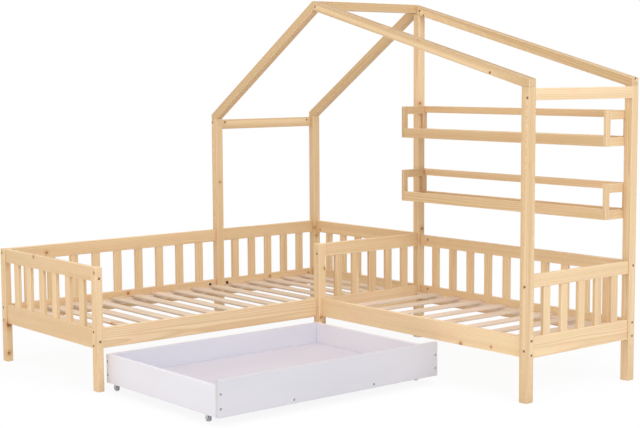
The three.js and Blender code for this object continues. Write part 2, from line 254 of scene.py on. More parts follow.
pine = {
    "light": (0.830, 0.605, 0.350, 1),
    "dark": (0.610, 0.350, 0.145, 1),
    "rosy": (0.830, 0.545, 0.320, 1),
    "yellow": (0.790, 0.620, 0.330, 1),
    "ringStrength": 0.42,
    "streakStrength": 0.30,
    "streakFrom": (0.35, 0.75),
    "patchStrength": 0.55,
    "rosyFrom": (0.52, 0.75),
    "yellowFrom": (0.48, 0.25),
    "tonePowers": (1.0, 1.25, 1.7),  # darker boards are also redder
    "knot": (0.330, 0.135, 0.035, 1),
    "knotStrength": 0.9,
    "halo": (0.600, 0.290, 0.090, 1),
    "haloStrength": 0.5,
    "worn": (0.880, 0.740, 0.550, 1),
    "wornShare": (0.15, 0.45),
    "ringWidth": 0.0075,
    "knotSize": 0.009,
    "roughness": (0.42, 0.60),
    "bump": 0.00025,
    "bumpStrength": 0.6,
    "fibreShare": 0.5,
}
rawPine = dict(
    pine,
    light=(0.780, 0.620, 0.470, 1),
    dark=(0.590, 0.430, 0.300, 1),
    rosy=(0.790, 0.570, 0.450, 1),
    yellow=(0.730, 0.620, 0.440, 1),
    worn=(0.820, 0.690, 0.560, 1),
    roughness=(0.60, 0.78),
)


def makePine(name, look, figureTree, knotTree):
    made, tree, shader = material(name)
    grain = attribute(tree, "grain", "Vector")
    edge = attribute(tree, "edge")
    # The tone attribute holds each board's own tone and, on the lower shelf's top and rear rails, painted
    # light
    tone = attribute(tree, "tone")
    # The shade attribute is painted shade on the upper faces of the flat rafters
    shade = attribute(tree, "shade")
    wood = put(tree, "ShaderNodeGroup", node_tree=figureTree)
    tree.links.new(grain, wood.inputs["Grain"])
    wood.inputs["Ring Width"].default_value = look["ringWidth"]
    wood.inputs["Knot Size"].default_value = look["knotSize"]
    knot, halo = wood.outputs["Knot"], wood.outputs["Halo"]
    for x, d, z, radius in placedKnots:
        spot = put(tree, "ShaderNodeGroup", node_tree=knotTree)
        spot.inputs["Centre"].default_value = millimetres(x, d, z)
        spot.inputs["Radius"].default_value = radius / 1000
        tree.links.new(knot, spot.inputs["Knot"])
        tree.links.new(halo, spot.inputs["Halo"])
        knot, halo = spot.outputs["Knot"], spot.outputs["Halo"]
    patches, strength = wood.outputs["Patches"], look["patchStrength"]
    colour = look["light"]
    for tint in ("rosy", "yellow"):
        share = ramp(tree, patches, *look[tint + "From"], 0.0, strength)
        colour = blend(tree, share, colour, look[tint])
    rings = math1(tree, "MULTIPLY", wood.outputs["Rings"], look["ringStrength"])
    colour = blend(tree, rings, colour, look["dark"])
    streaks = ramp(tree, wood.outputs["Streaks"], *look["streakFrom"], 0.0, look["streakStrength"])
    colour = blend(tree, streaks, colour, look["dark"])
    level = math1(tree, "ADD", math1(tree, "SUBTRACT", tone, shade), 1.0)
    level = put(tree, "ShaderNodeCombineColor", {
        i: math1(tree, "POWER", level, power) for i, power in enumerate(look["tonePowers"])})
    colour = blend(tree, 1.0, colour, level.outputs[0], "MULTIPLY")
    colour = blend(tree, math1(tree, "MULTIPLY", halo, look["haloStrength"]), colour, look["halo"])
    colour = blend(tree, math1(tree, "MULTIPLY", knot, look["knotStrength"]), colour, look["knot"])
    worn = ramp(tree, wood.outputs["Fibres"], 0.35, 0.7, *look["wornShare"])
    worn = math1(tree, "MULTIPLY", worn, edge)
    colour = blend(tree, worn, colour, look["worn"])
    tree.links.new(colour, shader.inputs["Base Color"])
    rough = ramp(tree, wood.outputs["Fibres"], 0.2, 0.8, *look["roughness"])
    tree.links.new(rough, shader.inputs["Roughness"])
    height = math1(
        tree, "MULTIPLY_ADD", wood.outputs["Fibres"], look["fibreShare"], wood.outputs["Rings"])
    height = math1(tree, "SUBTRACT", height, knot)
    bumpUp(tree, shader, height, look["bumpStrength"], look["bump"])
    return made


# Paint of the drawer: one white paint drawn as lit and shaded copies; the greyer front and the darker back
# and floor are painted shade, and the lighter far side is painted light
paintLitAndShaded = {
    "side": {"colour": (0.790, 0.765, 0.790, 1), "shade": (0.720, 0.695, 0.735, 1)},
    "farSide": {"colour": (0.860, 0.825, 0.850, 1), "shade": (0.800, 0.765, 0.800, 1)},
    "back": {"colour": (0.750, 0.727, 0.750, 1), "shade": (0.684, 0.660, 0.698, 1)},
    "front": {"colour": (0.640, 0.605, 0.600, 1), "shade": (0.590, 0.560, 0.565, 1)},
    "floor": {"colour": (0.650, 0.605, 0.645, 1), "shade": (0.600, 0.555, 0.595, 1)},
}
paintSurface = {
    "cloudScale": (1.5, 5.0, 5.0),
    "cloudShare": 0.6,
    "streakShare": 0.2,
    "roughness": (0.38, 0.52),
    "roller": 420.0,
    "ringShare": 0.35,
    "bump": 0.0002,
    "bumpStrength": 0.4,
}


def makePaint(name, look, figureTree):
    made, tree, shader = material(name)
    grain = attribute(tree, "grain", "Vector")
    wood = put(tree, "ShaderNodeGroup", node_tree=figureTree)
    tree.links.new(grain, wood.inputs["Grain"])
    clouds = noise(tree, vector3(tree, "MULTIPLY", grain, paintSurface["cloudScale"])).outputs[0]
    clouds = ramp(tree, clouds, 0.3, 0.75, 0.0, paintSurface["cloudShare"])
    colour = blend(tree, clouds, look["colour"], look["shade"])
    streaks = math1(tree, "MULTIPLY", wood.outputs["Streaks"], paintSurface["streakShare"])
    colour = blend(tree, streaks, colour, look["shade"])
    tree.links.new(colour, shader.inputs["Base Color"])
    here = objectPlace(tree)
    roller = noise(tree, here, scale=paintSurface["roller"]).outputs[0]
    rough = ramp(tree, roller, 0.3, 0.7, *paintSurface["roughness"])
    tree.links.new(rough, shader.inputs["Roughness"])
    height = math1(tree, "MULTIPLY_ADD", wood.outputs["Rings"], paintSurface["ringShare"], roller)
    bumpUp(tree, shader, height, paintSurface["bumpStrength"], paintSurface["bump"])
    return made


# Finishes of the fittings: two colours that lie in patches, the patches' scale, and the roughness
fittings = {
    "zinc": {
        "name": "zincPlate",
        "clean": (0.66, 0.66, 0.68, 1), "dull": (0.48, 0.48, 0.50, 1), "scale": 60.0,
        "roughness": (0.3, 0.5), "metallic": 1.0},
    "bronze": {
        "name": "bronzedBolt",
        "clean": (0.36, 0.20, 0.10, 1), "dull": (0.20, 0.11, 0.055, 1), "scale": 400.0,
        "roughness": (0.4, 0.6), "metallic": 0.3},
    "black": {
        "name": "blackNut",
        "clean": (0.025, 0.014, 0.010, 1), "dull": (0.012, 0.008, 0.006, 1), "scale": 300.0,
        "roughness": (0.5, 0.7), "metallic": 0.2},
    "screw": {
        "name": "screwSteel",
        "clean": (0.24, 0.23, 0.25, 1), "dull": (0.14, 0.13, 0.15, 1), "scale": 400.0,
        "roughness": (0.35, 0.5), "metallic": 1.0},
    "plastic": {
        "name": "greyPlastic",
        "clean": (0.50, 0.49, 0.51, 1), "dull": (0.36, 0.35, 0.37, 1), "scale": 90.0,
        "roughness": (0.5, 0.7), "metallic": 0.0},
}
grit = {"scale": 6, "strength": 0.3, "depth": 0.0002}


def makeFitting(look):
    made, tree, shader = material(look["name"])
    here = objectPlace(tree)
    patches = noise(tree, here, scale=look["scale"], detail=3.0).outputs[0]
    mask = ramp(tree, patches, 0.35, 0.7)
    tree.links.new(blend(tree, mask, look["clean"], look["dull"]), shader.inputs["Base Color"])
    tree.links.new(ramp(tree, patches, 0.3, 0.7, *look["roughness"]), shader.inputs["Roughness"])
    shader.inputs["Metallic"].default_value = look["metallic"]
    fine = noise(tree, here, scale=look["scale"] * grit["scale"], detail=2.0).outputs[0]
    bumpUp(tree, shader, fine, grit["strength"], grit["depth"])
    return made


figureTree = figureGroup()
knotTree = knotGroup()
materials = {
    "pine": makePine("lacqueredPine", pine, figureTree, knotTree),
    "slats": makePine("rawPine", rawPine, figureTree, knotTree),
}
for name, look in fittings.items():
    materials[name] = makeFitting(look)
# One material for each lit and shaded copy of the drawer's paint
for name, look in paintLitAndShaded.items():
    materials[name] = makePaint(name + "Paint", look, figureTree)
print("materials:", len(materials))


# Boards

joinery = {
    "round": 0.0020,
    "roundSteps": 3,
    "railHeight": 0.095,
    "fit": 0.0003,
    "grainStep": 3.0,  # metres between the figures of two boards, so that no two are alike
    "pith": (0.05, 0.03),  # from a board's middle, across and through
    "pithSpread": (0.06, 0.09),
    "rowSpread": (0.03, 0.04),  # the same between the boards of a row
    "merge": 0.00002,
}

# How much lighter or darker than the rest a board is; names that start alike share a value. Most values
# are the boards' own tone, but the lower shelf's top and rear rails are drawn lighter as painted light
tonesAndPaintedLight = {
    "spread": 0.05,
    "front_rail": 0.02,
    "front_rail_short": 0.06,
    "post_inner_corner": 0.05,
    "rafter_": -0.14,
    "rafter_front_right": -0.09,
    "rafter_rear_right": -0.08,
    "ridge_beam": -0.20,
    "shelf_": -0.19,
    # Painted light: these two rails are drawn lighter to cancel the shadow that the upper shelf casts on
    # them
    "shelf_lower_top_rail": 0.33,
    "shelf_lower_rear_rail": 0.33,
    "shelf_upper_top_rail": 0.08,
    "shelf_upper_rear_rail": 0.10,
    "shelf_upper_end_right": 0.12,
    "shelf_lower_end_right": 0.12,
    "shelf_lower_front_lip": 0.12,
    "post_left_rear": -0.08,
    "post_left_front": -0.07,
    "guard_rear": -0.05,
    "guard_rear_right": 0.12,
    "guard_left_rear": -0.05,
    "tie_beam_left": -0.20,
    "post_right_front": -0.17,
    "post_right_rear": -0.06,
    "guard_divider_top_rail": 0.05,
}


def corners(node):
    return [Vector(corner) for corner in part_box(node)]


def meshFrom(build, name):
    mesh = bpy.data.meshes.new(name)
    build.to_mesh(mesh)
    build.free()
    return mesh


# Faces between two closed rows of points
def bridge(build, first, second):
    for i in range(len(first)):
        j = (i + 1) % len(first)
        build.faces.new((first[i], first[j], second[j], second[i]))


def boardOffset(name):
    seed = zlib.crc32(("board " + name).encode())
    chances = [((seed >> shift) % 97) / 96 - 0.5 for shift in (3, 11)]
    across, through = (
        middle + spread * chance
        for middle, spread, chance in zip(joinery["pith"], joinery["pithSpread"], chances))
    return Vector((joinery["grainStep"] * (1 + seed % 61), across, through))


# A board's own tone with a random share; for the lower shelf's top and rear rails it also holds painted
# light
def boardToneAndPaintedLight(name):
    chance = (zlib.crc32((name + "tone").encode()) % 1000) / 500 - 1
    own = sum(value for start, value in tonesAndPaintedLight.items() if name.startswith(start))
    return own + chance * tonesAndPaintedLight["spread"]


def setGrain(mesh, centre, along, name):
    lengthAxis = Vector(along).normalized()
    across = Vector((0, 0, 1)) if abs(lengthAxis.z) < 0.9 else Vector((0, 1, 0))
    through = lengthAxis.cross(across).normalized()
    across = through.cross(lengthAxis)
    offset = boardOffset(name)
    grain = mesh.attributes.new("grain", "FLOAT_VECTOR", "POINT")
    for vertex, value in zip(mesh.vertices, grain.data):
        local = vertex.co - centre
        value.vector = offset + Vector((local.dot(lengthAxis), local.dot(across), local.dot(through)))
    tone = mesh.attributes.new("tone", "FLOAT", "POINT")
    tone.data.foreach_set("value", [boardToneAndPaintedLight(name)] * len(mesh.vertices))


def boardMesh(low, high, along, name, roundness=None):
    low, high = Vector(low), Vector(high)
    centre, size = (low + high) / 2, high - low
    build = bmesh.new()
    edgeLayer = build.faces.layers.float.new("edge")
    bmesh.ops.create_cube(build, size=1)
    for vertex in build.verts:
        vertex.co = centre + Matrix.Diagonal(size) @ vertex.co
    rounded = bmesh.ops.bevel(
        build, geom=build.edges[:], offset=roundness or joinery["round"], offset_type="OFFSET",
        segments=joinery["roundSteps"], profile=0.5, affect="EDGES")
    for face in rounded["faces"]:
        face.smooth = True
        face[edgeLayer] = 1.0
    mesh = meshFrom(build, name)
    axes = {"x": (1, 0, 0), "y": (0, 1, 0), "z": (0, 0, 1)}
    setGrain(mesh, centre, axes[along], name)
    return mesh


def joinMeshes(name, meshes, materialKeys):
    joined = bmesh.new()
    keys = sorted(set(materialKeys), key=materialKeys.index)
    for mesh, key in zip(meshes, materialKeys):
        start = len(joined.faces)
        joined.from_mesh(mesh)
        joined.faces.ensure_lookup_table()
        for face in joined.faces[start:]:
            face.material_index = keys.index(key)
    mesh = meshFrom(joined, name)
    for key in keys:
        mesh.materials.append(materials[key])
    return mesh


def show(name, mesh):
    piece = bpy.data.objects.new(name, mesh)
    scene.collection.objects.link(piece)
    return piece


def plain(piece):
    graph = bpy.context.evaluated_depsgraph_get()
    mesh = bpy.data.meshes.new_from_object(piece.evaluated_get(graph))
    result = show(piece.name + ".made", mesh)
    name = piece.name
    bpy.data.objects.remove(piece)
    result.name = name
    return result


def finishPiece(piece, body, slot, *replaced):
    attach(piece, body)
    if replaced:
        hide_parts(*replaced)


def finishTimber(piece, node):
    finishPiece(piece, "bed", "timber", node)


def longAxis(low, high):
    size = [high[i] - low[i] for i in range(3)]
    return "xyz"[size.index(max(size))]


# Rows of like boards, set out by geometry nodes

def rowTree():
    tree, entry, out = group("boardRow", "GeometryNodeTree", {
        "Board": ("NodeSocketObject", None),
        "Count": ("NodeSocketInt", 5),
        "Step": ("NodeSocketVector", None),
        "Grain Shift": ("NodeSocketFloat", joinery["grainStep"]),
        "Tone Spread": ("NodeSocketFloat", tonesAndPaintedLight["spread"]),
        "Seed": ("NodeSocketInt", 7),
        "Finish": ("NodeSocketMaterial", None),
    }, {"Boards": ("NodeSocketGeometry", None)})
    line = put(tree, "GeometryNodeMeshLine", {"Count": entry["Count"], "Offset": entry["Step"]})
    source = put(tree, "GeometryNodeObjectInfo", {"Object": entry["Board"]}, transform_space="RELATIVE")
    copies = put(tree, "GeometryNodeInstanceOnPoints", {
        "Points": line.outputs[0], "Instance": source.outputs["Geometry"]})
    index = put(tree, "GeometryNodeInputIndex").outputs[0]
    counted = stored(tree, copies.outputs[0], "boardNumber", index, "INT", "INSTANCE")
    solid = put(tree, "GeometryNodeRealizeInstances", {"Geometry": counted})
    number = named(tree, "boardNumber", "INT")
    chances = {"ID": number, "Seed": entry["Seed"]}
    pith = put(tree, "FunctionNodeRandomValue", chances, data_type="FLOAT_VECTOR")
    across, through = joinery["rowSpread"]
    pith.inputs[0].default_value = (0.0, -across, -through)
    pith.inputs[1].default_value = (0.0, across, through)
    along = put(tree, "ShaderNodeCombineXYZ", {0: math1(tree, "MULTIPLY", number, entry["Grain Shift"])})
    moved = vector3(tree, "ADD", named(tree, "grain", "FLOAT_VECTOR"), along.outputs[0])
    moved = vector3(tree, "ADD", moved, pith.outputs[0])
    grained = stored(tree, solid.outputs[0], "grain", moved, "FLOAT_VECTOR")
    chance = put(tree, "FunctionNodeRandomValue", chances, data_type="FLOAT")
    chance.inputs["Min"].default_value = -1.0
    tone = math1(
        tree, "MULTIPLY_ADD", chance.outputs[1], entry["Tone Spread"], named(tree, "tone", "FLOAT"))
    toned = stored(tree, grained, "tone", tone, "FLOAT")
    cleared = put(tree, "GeometryNodeRemoveAttribute", {"Geometry": toned, "Name": "boardNumber"})
    tree.links.new(dressed(tree, cleared.outputs[0], entry["Finish"]), out[0])
    return tree


def useTree(piece, tree, values):
    modifier = piece.modifiers.new(tree.name, "NODES")
    modifier.node_group = tree
    for item in tree.interface.items_tree:
        if item.in_out == "INPUT" and item.name in values:
            modifier[item.identifier] = values[item.name]
    return modifier


def rowMesh(name, low, high, along, count, step, key):
    first = show(name + "_first", boardMesh(low, high, along, name))
    row = show(name + "_row", bpy.data.meshes.new(name))
    useTree(row, boardRow, {
        "Board": first, "Count": count, "Step": step,
        "Seed": zlib.crc32(name.encode()) % 1000, "Finish": materials[key]})
    made = plain(row)
    mesh = made.data
    bpy.data.objects.remove(made)
    bpy.data.objects.remove(first)
    return mesh


boardRow = rowTree()

# Guards: balusters in each panel, its bolts, and the face that shows the barrel nuts
guards = {
    "guard_foot": {"count": 6, "bolts": "single", "inside": (0, 1, 0)},
    "guard_left_front": {"count": 9, "bolts": "double", "inside": None},
    "guard_left_rear": {"count": 5, "bolts": "double", "inside": None},
    "guard_rear_left": {"count": 6, "bolts": "single", "inside": (0, -1, 0)},
    "guard_rear_right": {"count": 10, "bolts": "double", "inside": (0, -1, 0), "nutFromEnd": 0.054},
    "guard_right": {"count": 5, "bolts": "single", "inside": (-1, 0, 0)},
    "guard_divider": {"count": 5, "bolts": "single", "inside": (-1, 0, 0)},
}
baluster = {"width": 0.045, "thickness": 0.018}


def lowerRail(name):
    low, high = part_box(name + "_balusters")
    return Vector(low), Vector((high[0], high[1], low[2] + joinery["railHeight"]))


def makeGuard(name, panel):
    low, high = corners(name + "_balusters")
    axis = 0 if high.x - low.x > high.y - low.y else 1
    along = "xy"[axis]
    railLow, railHigh = lowerRail(name)
    rail = boardMesh(railLow, railHigh, along, name + "_lower")
    rail.materials.append(materials["pine"])
    drilled = withNuts(show(name + "_lower", rail), name + "_lower")
    rail = drilled.data
    bpy.data.objects.remove(drilled)
    count, width = panel["count"], baluster["width"]
    gap = (high[axis] - low[axis] - count * width) / (count + 1)
    middle = (low[1 - axis] + high[1 - axis]) / 2
    first, last = Vector(), Vector()
    first[axis], last[axis] = low[axis] + gap, low[axis] + gap + width
    first[1 - axis] = middle - baluster["thickness"] / 2
    last[1 - axis] = middle + baluster["thickness"] / 2
    first.z, last.z = railHigh.z - joinery["round"] - joinery["fit"], high.z
    step = Vector()
    step[axis] = gap + width
    row = rowMesh(name + "_balusters", first, last, "z", count, step, "pine")
    comb = show(name + "_comb", joinMeshes(name + "_comb", [rail, row], ["pine", "pine"]))
    finishTimber(comb, name + "_balusters")


def makeBoardPiece(node, key="pine", roundness=None):
    low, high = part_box(node)
    mesh = boardMesh(low, high, longAxis(low, high), node, roundness)
    mesh.materials.append(materials[key])
    return show(node + "_board", mesh)


# Painted shade: how much darker the upper faces of the flat rafters are coloured than their other faces
upperPaintedShade = {"rafter_front_right": 0.28, "rafter_rear_right": 0.22, "upward": 0.5}


# Timber whose outline isn't a plain box keeps the node's own shape, with its corners eased
def makeCutPiece(node):
    mesh = nodes[node].data.copy()
    if "custom_normal" in mesh.attributes:
        mesh.attributes.remove(mesh.attributes["custom_normal"])
    build = bmesh.new()
    build.from_mesh(mesh)
    bmesh.ops.remove_doubles(build, verts=build.verts, dist=joinery["merge"])
    bmesh.ops.dissolve_limit(
        build, angle_limit=math.radians(1), verts=build.verts, edges=build.edges)
    ends = [vertex.co.copy() for vertex in max(build.edges, key=lambda edge: edge.calc_length()).verts]
    along = ends[1] - ends[0] if ends[1].x + ends[1].z > ends[0].x + ends[0].z else ends[0] - ends[1]
    edgeLayer = build.faces.layers.float.new("edge")
    shadeLayer = build.faces.layers.float.new("shade")
    build.normal_update()
    for face in build.faces:
        longest = max(edge.calc_length() for edge in face.edges)
        face[edgeLayer] = 1.0 if face.calc_area() / longest < 2 * joinery["round"] else 0.0
        # Painted shade: the upward faces of the flat rafters get a darker colour through the shade
        # attribute
        face[shadeLayer] = upperPaintedShade.get(node, 0.0) if face.normal.z > upperPaintedShade["upward"] else 0.0
        face.smooth = False
    build.to_mesh(mesh)
    build.free()
    low, high = corners(node)
    setGrain(mesh, (low + high) / 2, along, node)
    mesh.materials.clear()
    mesh.materials.append(materials["pine"])
    return show(node + "_cut", mesh)


# Holes drilled for bolts and barrel nuts, so that each head sits just under the wood's face
holes = {
    "boltRadius": 0.0060,
    "nutRadius": 0.0060,
    "wideNutRadius": 0.0085,
    "clearance": 0.0006,
    "depth": 0.0040,
    "sunk": 0.0006,
    "sides": 24,
    "reach": 0.001,  # how near a rail's end lies to the post that it is bolted to
    "covered": 0.006,  # how near another rail hides a bolt
    "nutFromEnd": 0.034,
    "lowerBolts": {"double": (0.015, 0.080), "single": (0.036,)},  # up from the rail's lower edge
    "topBolts": {"double": 0.022, "single": 0.052},  # down from the rail's upper edge
    "tieBolts": {"tie_beam_left": 0.016, "tie_beam_right": 0.043},
}

# Nuts of the left rails: rail, place in mm as for the knots; the wide ones are dark caps
wideNuts = [("guard_left_front_lower", (28, 803, 270)), ("guard_left_rear_lower", (28, 684, 270))]
plainNuts = [("guard_left_rear_lower", (28, 79, 270))]

# Bolts through the roof timber: node, place in mm as for the knots, and the way that each one faces
roofBolts = [
    ("rafter_front_right", (939, 760, 1811), (0, -1, 0)),
    ("rafter_front_right", (2170, 760, 1468), (0, -1, 0)),
    ("rafter_rear_right", (964, 45, 1807), (0, -1, 0)),
    ("rafter_rear_right", (993, 45, 1780), (0, -1, 0)),
    ("rafter_rear_right", (2405, 24, 1438), (1, 0, 0)),
    ("post_left_rear", (45, 12, 541), (1, 0, 0)),
]


def drill(piece, places, radius):
    cutter = bmesh.new()
    for place, facing in places:
        turn = Vector((0, 0, 1)).rotation_difference(Vector(facing)).to_matrix().to_4x4()
        bmesh.ops.create_cone(
            cutter, cap_ends=True, segments=holes["sides"], radius1=radius, radius2=radius,
            depth=2 * holes["depth"], matrix=Matrix.Translation(place) @ turn)
    mesh = meshFrom(cutter, "cutter")
    mesh.materials.append(piece.data.materials[0])
    tool = show("cutter", mesh)
    modifier = piece.modifiers.new("drilled", "BOOLEAN")
    modifier.object = tool
    modifier.operation = "DIFFERENCE"
    modifier.solver = "EXACT"
    made = plain(piece)
    bpy.data.objects.remove(tool)
    return made


postNames = [name for name in nodes if name.startswith("post_")]
# Name, corners, height of each bolt, face that shows the nuts, if any, and their distance from the end
rails = []
for name, panel in guards.items():
    low, high = lowerRail(name)
    heights = [low.z + rise for rise in holes["lowerBolts"][panel["bolts"]]]
    nutIn = panel.get("nutFromEnd", holes["nutFromEnd"])
    rails.append((name + "_lower", low, high, heights, panel["inside"], nutIn))
    low, high = corners(name + "_top_rail")
    heights = [high.z - holes["topBolts"][panel["bolts"]]]
    rails.append((name + "_top_rail", low, high, heights, panel["inside"], nutIn))
for name, inside in (("front_rail_long_bed", (-1, 0, 0)), ("front_rail_short_bed", (0, 1, 0))):
    low, high = corners(name)
    heights = [low.z + rise for rise in holes["lowerBolts"]["double"]]
    rails.append((name, low, high, heights, inside, holes["nutFromEnd"]))
for name, inside in (("tie_beam_left", (1, 0, 0)), ("tie_beam_right", (-1, 0, 0))):
    low, high = corners(name)
    rails.append((name, low, high, [high.z - holes["tieBolts"][name]], inside, holes["nutFromEnd"]))


def onRightFace(place):
    return Vector(millimetres(*place)), Vector((1, 0, 0))


def contains(low, high, point, slack):
    return all(low[i] - slack <= point[i] <= high[i] + slack for i in range(3))


def findFixings():
    bolts, nuts = {}, {}
    for name, low, high, heights, inside, nutIn in rails:
        axis = 0 if high.x - low.x > high.y - low.y else 1
        middle = (low[1 - axis] + high[1 - axis]) / 2
        for sign, end in ((-1, low[axis]), (1, high[axis])):
            for height in heights:
                point = Vector((0, 0, height))
                point[1 - axis] = middle
                point[axis] = end
                facing = Vector()
                facing[axis] = sign
                if inside:
                    nut = point.copy()
                    nut[axis] -= sign * nutIn
                    side = [i for i in range(3) if inside[i]][0]
                    nut[side] = high[side] if inside[side] > 0 else low[side]
                    nuts.setdefault(name, []).append((nut, Vector(inside)))
                for post in postNames:
                    postLow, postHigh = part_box(post)
                    if not contains(postLow, postHigh, point, holes["reach"]):
                        continue
                    face = point.copy()
                    face[axis] = postHigh[axis] if sign > 0 else postLow[axis]
                    hidden = any(
                        contains(low2, high2, face, holes["covered"])
                        for other, low2, high2, *_ in rails if other != name)
                    if not hidden:
                        bolts.setdefault(post, []).append((face, facing))
    for node, place, facing in roofBolts:
        bolts.setdefault(node, []).append((Vector(millimetres(*place)), Vector(facing)))
    for name, place in plainNuts:
        nuts.setdefault(name, []).append(onRightFace(place))
    return bolts, nuts


boltPlaces, nutPlaces = findFixings()
print("fixings:", sum(map(len, boltPlaces.values())), "bolts,", sum(map(len, nutPlaces.values())), "nuts")


# Heads: a domed cap with a hexagon socket, built as closed rings
heads = {
    "bolt": {"dome": 0.0006, "socketShare": 0.55, "socketDepth": 0.0022, "sides": 24},
    "nut": {"dome": 0.0003, "socketShare": 0.45, "socketDepth": 0.0018, "sides": 24},
    "screw": {"dome": 0.0006, "socketShare": 0.50, "socketDepth": 0.0012, "sides": 18},
    "small": {"dome": 0.0004, "socketShare": 0.45, "socketDepth": 0.0008, "sides": 12},
}
headForm = {"base": -0.001, "skirt": -0.2, "shoulder": (0.9, 0.6), "crown": 0.7}


def headMesh(name, kind, radius):
    look = heads[kind]
    dome, sides = look["dome"], look["sides"]
    build = bmesh.new()

    def ring(distance, height):
        return [build.verts.new((
            distance(i) * math.cos(2 * math.pi * i / sides),
            distance(i) * math.sin(2 * math.pi * i / sides), height)) for i in range(sides)]

    def hexagon(i):
        angle = (2 * math.pi * i / sides) % (math.pi / 3) - math.pi / 6
        return radius * look["socketShare"] * math.cos(math.pi / 6) / math.cos(angle)

    shoulder, rise = headForm["shoulder"]
    rings = [
        ring(lambda i: radius, headForm["base"]),
        ring(lambda i: radius, headForm["skirt"] * dome),
        ring(lambda i: radius * shoulder, rise * dome),
        ring(lambda i: radius * headForm["crown"], dome),
        ring(hexagon, dome),
        ring(hexagon, dome - look["socketDepth"]),
    ]
    for lower, upper in zip(rings, rings[1:]):
        bridge(build, lower, upper)
    build.faces.new(rings[-1])
    build.faces.new(rings[0][::-1])
    bmesh.ops.recalc_face_normals(build, faces=build.faces)
    return meshFrom(build, name)


def headTree():
    tree, entry, out = group("headsOnPoints", "GeometryNodeTree", {
        "Places": ("NodeSocketGeometry", None),
        "Head": ("NodeSocketObject", None),
        "Size": ("NodeSocketFloat", 1.0),
        "Seed": ("NodeSocketInt", 3),
        "Finish": ("NodeSocketMaterial", None),
    }, {"Heads": ("NodeSocketGeometry", None)})
    points = put(tree, "GeometryNodeMeshToPoints", {"Mesh": entry["Places"]})
    source = put(tree, "GeometryNodeObjectInfo", {"Object": entry["Head"]})
    facing = named(tree, "facing", "FLOAT_VECTOR")
    turn = put(tree, "FunctionNodeRandomValue", {"Seed": entry["Seed"]}, data_type="FLOAT")
    turn.inputs["Max"].default_value = 2 * math.pi
    twist = put(tree, "ShaderNodeCombineXYZ", {2: turn.outputs[1]})
    spun = put(tree, "FunctionNodeEulerToRotation", {0: twist.outputs[0]})
    aimed = put(tree, "FunctionNodeAlignRotationToVector", {
        "Rotation": spun.outputs[0], "Vector": facing}, axis="Z")
    scale = put(tree, "ShaderNodeCombineXYZ", {0: entry["Size"], 1: entry["Size"], 2: entry["Size"]})
    copies = put(tree, "GeometryNodeInstanceOnPoints", {
        "Points": points.outputs[0], "Instance": source.outputs["Geometry"],
        "Rotation": aimed.outputs[0], "Scale": scale.outputs[0]})
    solid = put(tree, "GeometryNodeRealizeInstances", {"Geometry": copies.outputs[0]})
    tree.links.new(dressed(tree, solid.outputs[0], entry["Finish"]), out[0])
    return tree


headsOnPoints = headTree()


def makeHeads(name, body, slot, places, head, key, sunk=0.0):
    mesh = bpy.data.meshes.new(name)
    mesh.from_pydata([Vector(place) - Vector(facing) * sunk for place, facing in places], [], [])
    facing = mesh.attributes.new("facing", "FLOAT_VECTOR", "POINT")
    for value, (_, direction) in zip(facing.data, places):
        value.vector = direction
    piece = show(name, mesh)
    source = show(name + "_head", head)
    useTree(piece, headsOnPoints, {"Head": source, "Finish": materials[key], "Seed": len(places)})
    made = plain(piece)
    bpy.data.objects.remove(source)
    for polygon in made.data.polygons:
        polygon.use_smooth = False
    finishPiece(made, body, slot)
    return made


def flat(places):
    return [item for group in places.values() for item in group]


def withBolts(piece, node):
    if node not in boltPlaces:
        return piece
    return drill(piece, boltPlaces[node], holes["boltRadius"] + holes["clearance"])


def withNuts(piece, name):
    wide = [onRightFace(place) for rail, place in wideNuts if rail == name]
    if wide:
        piece = drill(piece, wide, holes["wideNutRadius"] + holes["clearance"])
    if name in nutPlaces:
        piece = drill(piece, nutPlaces[name], holes["nutRadius"] + holes["clearance"])
    return piece


def makeTimber():
    for name, panel in guards.items():
        makeGuard(name, panel)
        rail = name + "_top_rail"
        finishTimber(withNuts(makeBoardPiece(rail), rail), rail)
    for node in postNames:
        piece = makeCutPiece(node) if node == "post_rear_ridge" else makeBoardPiece(node)
        finishTimber(withBolts(piece, node), node)
    for node in ("front_rail_long_bed", "front_rail_short_bed", "tie_beam_left", "tie_beam_right"):
        finishTimber(withNuts(makeBoardPiece(node), node), node)
    finishTimber(makeBoardPiece("ridge_beam"), "ridge_beam")
    for node in nodes:
        if node.startswith("rafter_"):
            finishTimber(withBolts(makeCutPiece(node), node), node)


# Slatted bases
slats = {
    "width": 0.060,
    "thickness": 0.010,
    "batten": 0.030,
    "battenHeight": 0.030,
    "housing": 0.001,
    "rearCount": 5,  # slats of the long bed that reach the divider
    "longCount": 15,
    "shortCount": 8,
}


# The middles of the slats of a base, evenly spaced between its ends
def slatMiddles(start, end, count):
    gap = (end - start - count * slats["width"]) / (count + 1)
    return [start + (gap + slats["width"]) * (i + 1) - slats["width"] / 2 for i in range(count)]


def slatRow(name, low, high, axis, middles):
    first, last = low.copy(), high.copy()
    first[axis], last[axis] = middles[0] - slats["width"] / 2, middles[0] + slats["width"] / 2
    first.z, last.z = high.z - slats["thickness"], high.z
    step = Vector()
    step[axis] = middles[1] - middles[0]
    return rowMesh(name, first, last, "yx"[axis], len(middles), step, "slats")


def longSlats():
    low, high = corners("slat_base_long_bed")
    middles = slatMiddles(low.y, high.y, slats["longCount"])
    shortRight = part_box("front_rail_long_bed")[0][0] - joinery["fit"]
    front = len(middles) - slats["rearCount"]
    frontHigh = Vector((shortRight, high.y, high.z))
    return [("front", middles[:front], low, frontHigh), ("rear", middles[front:], low, high)]


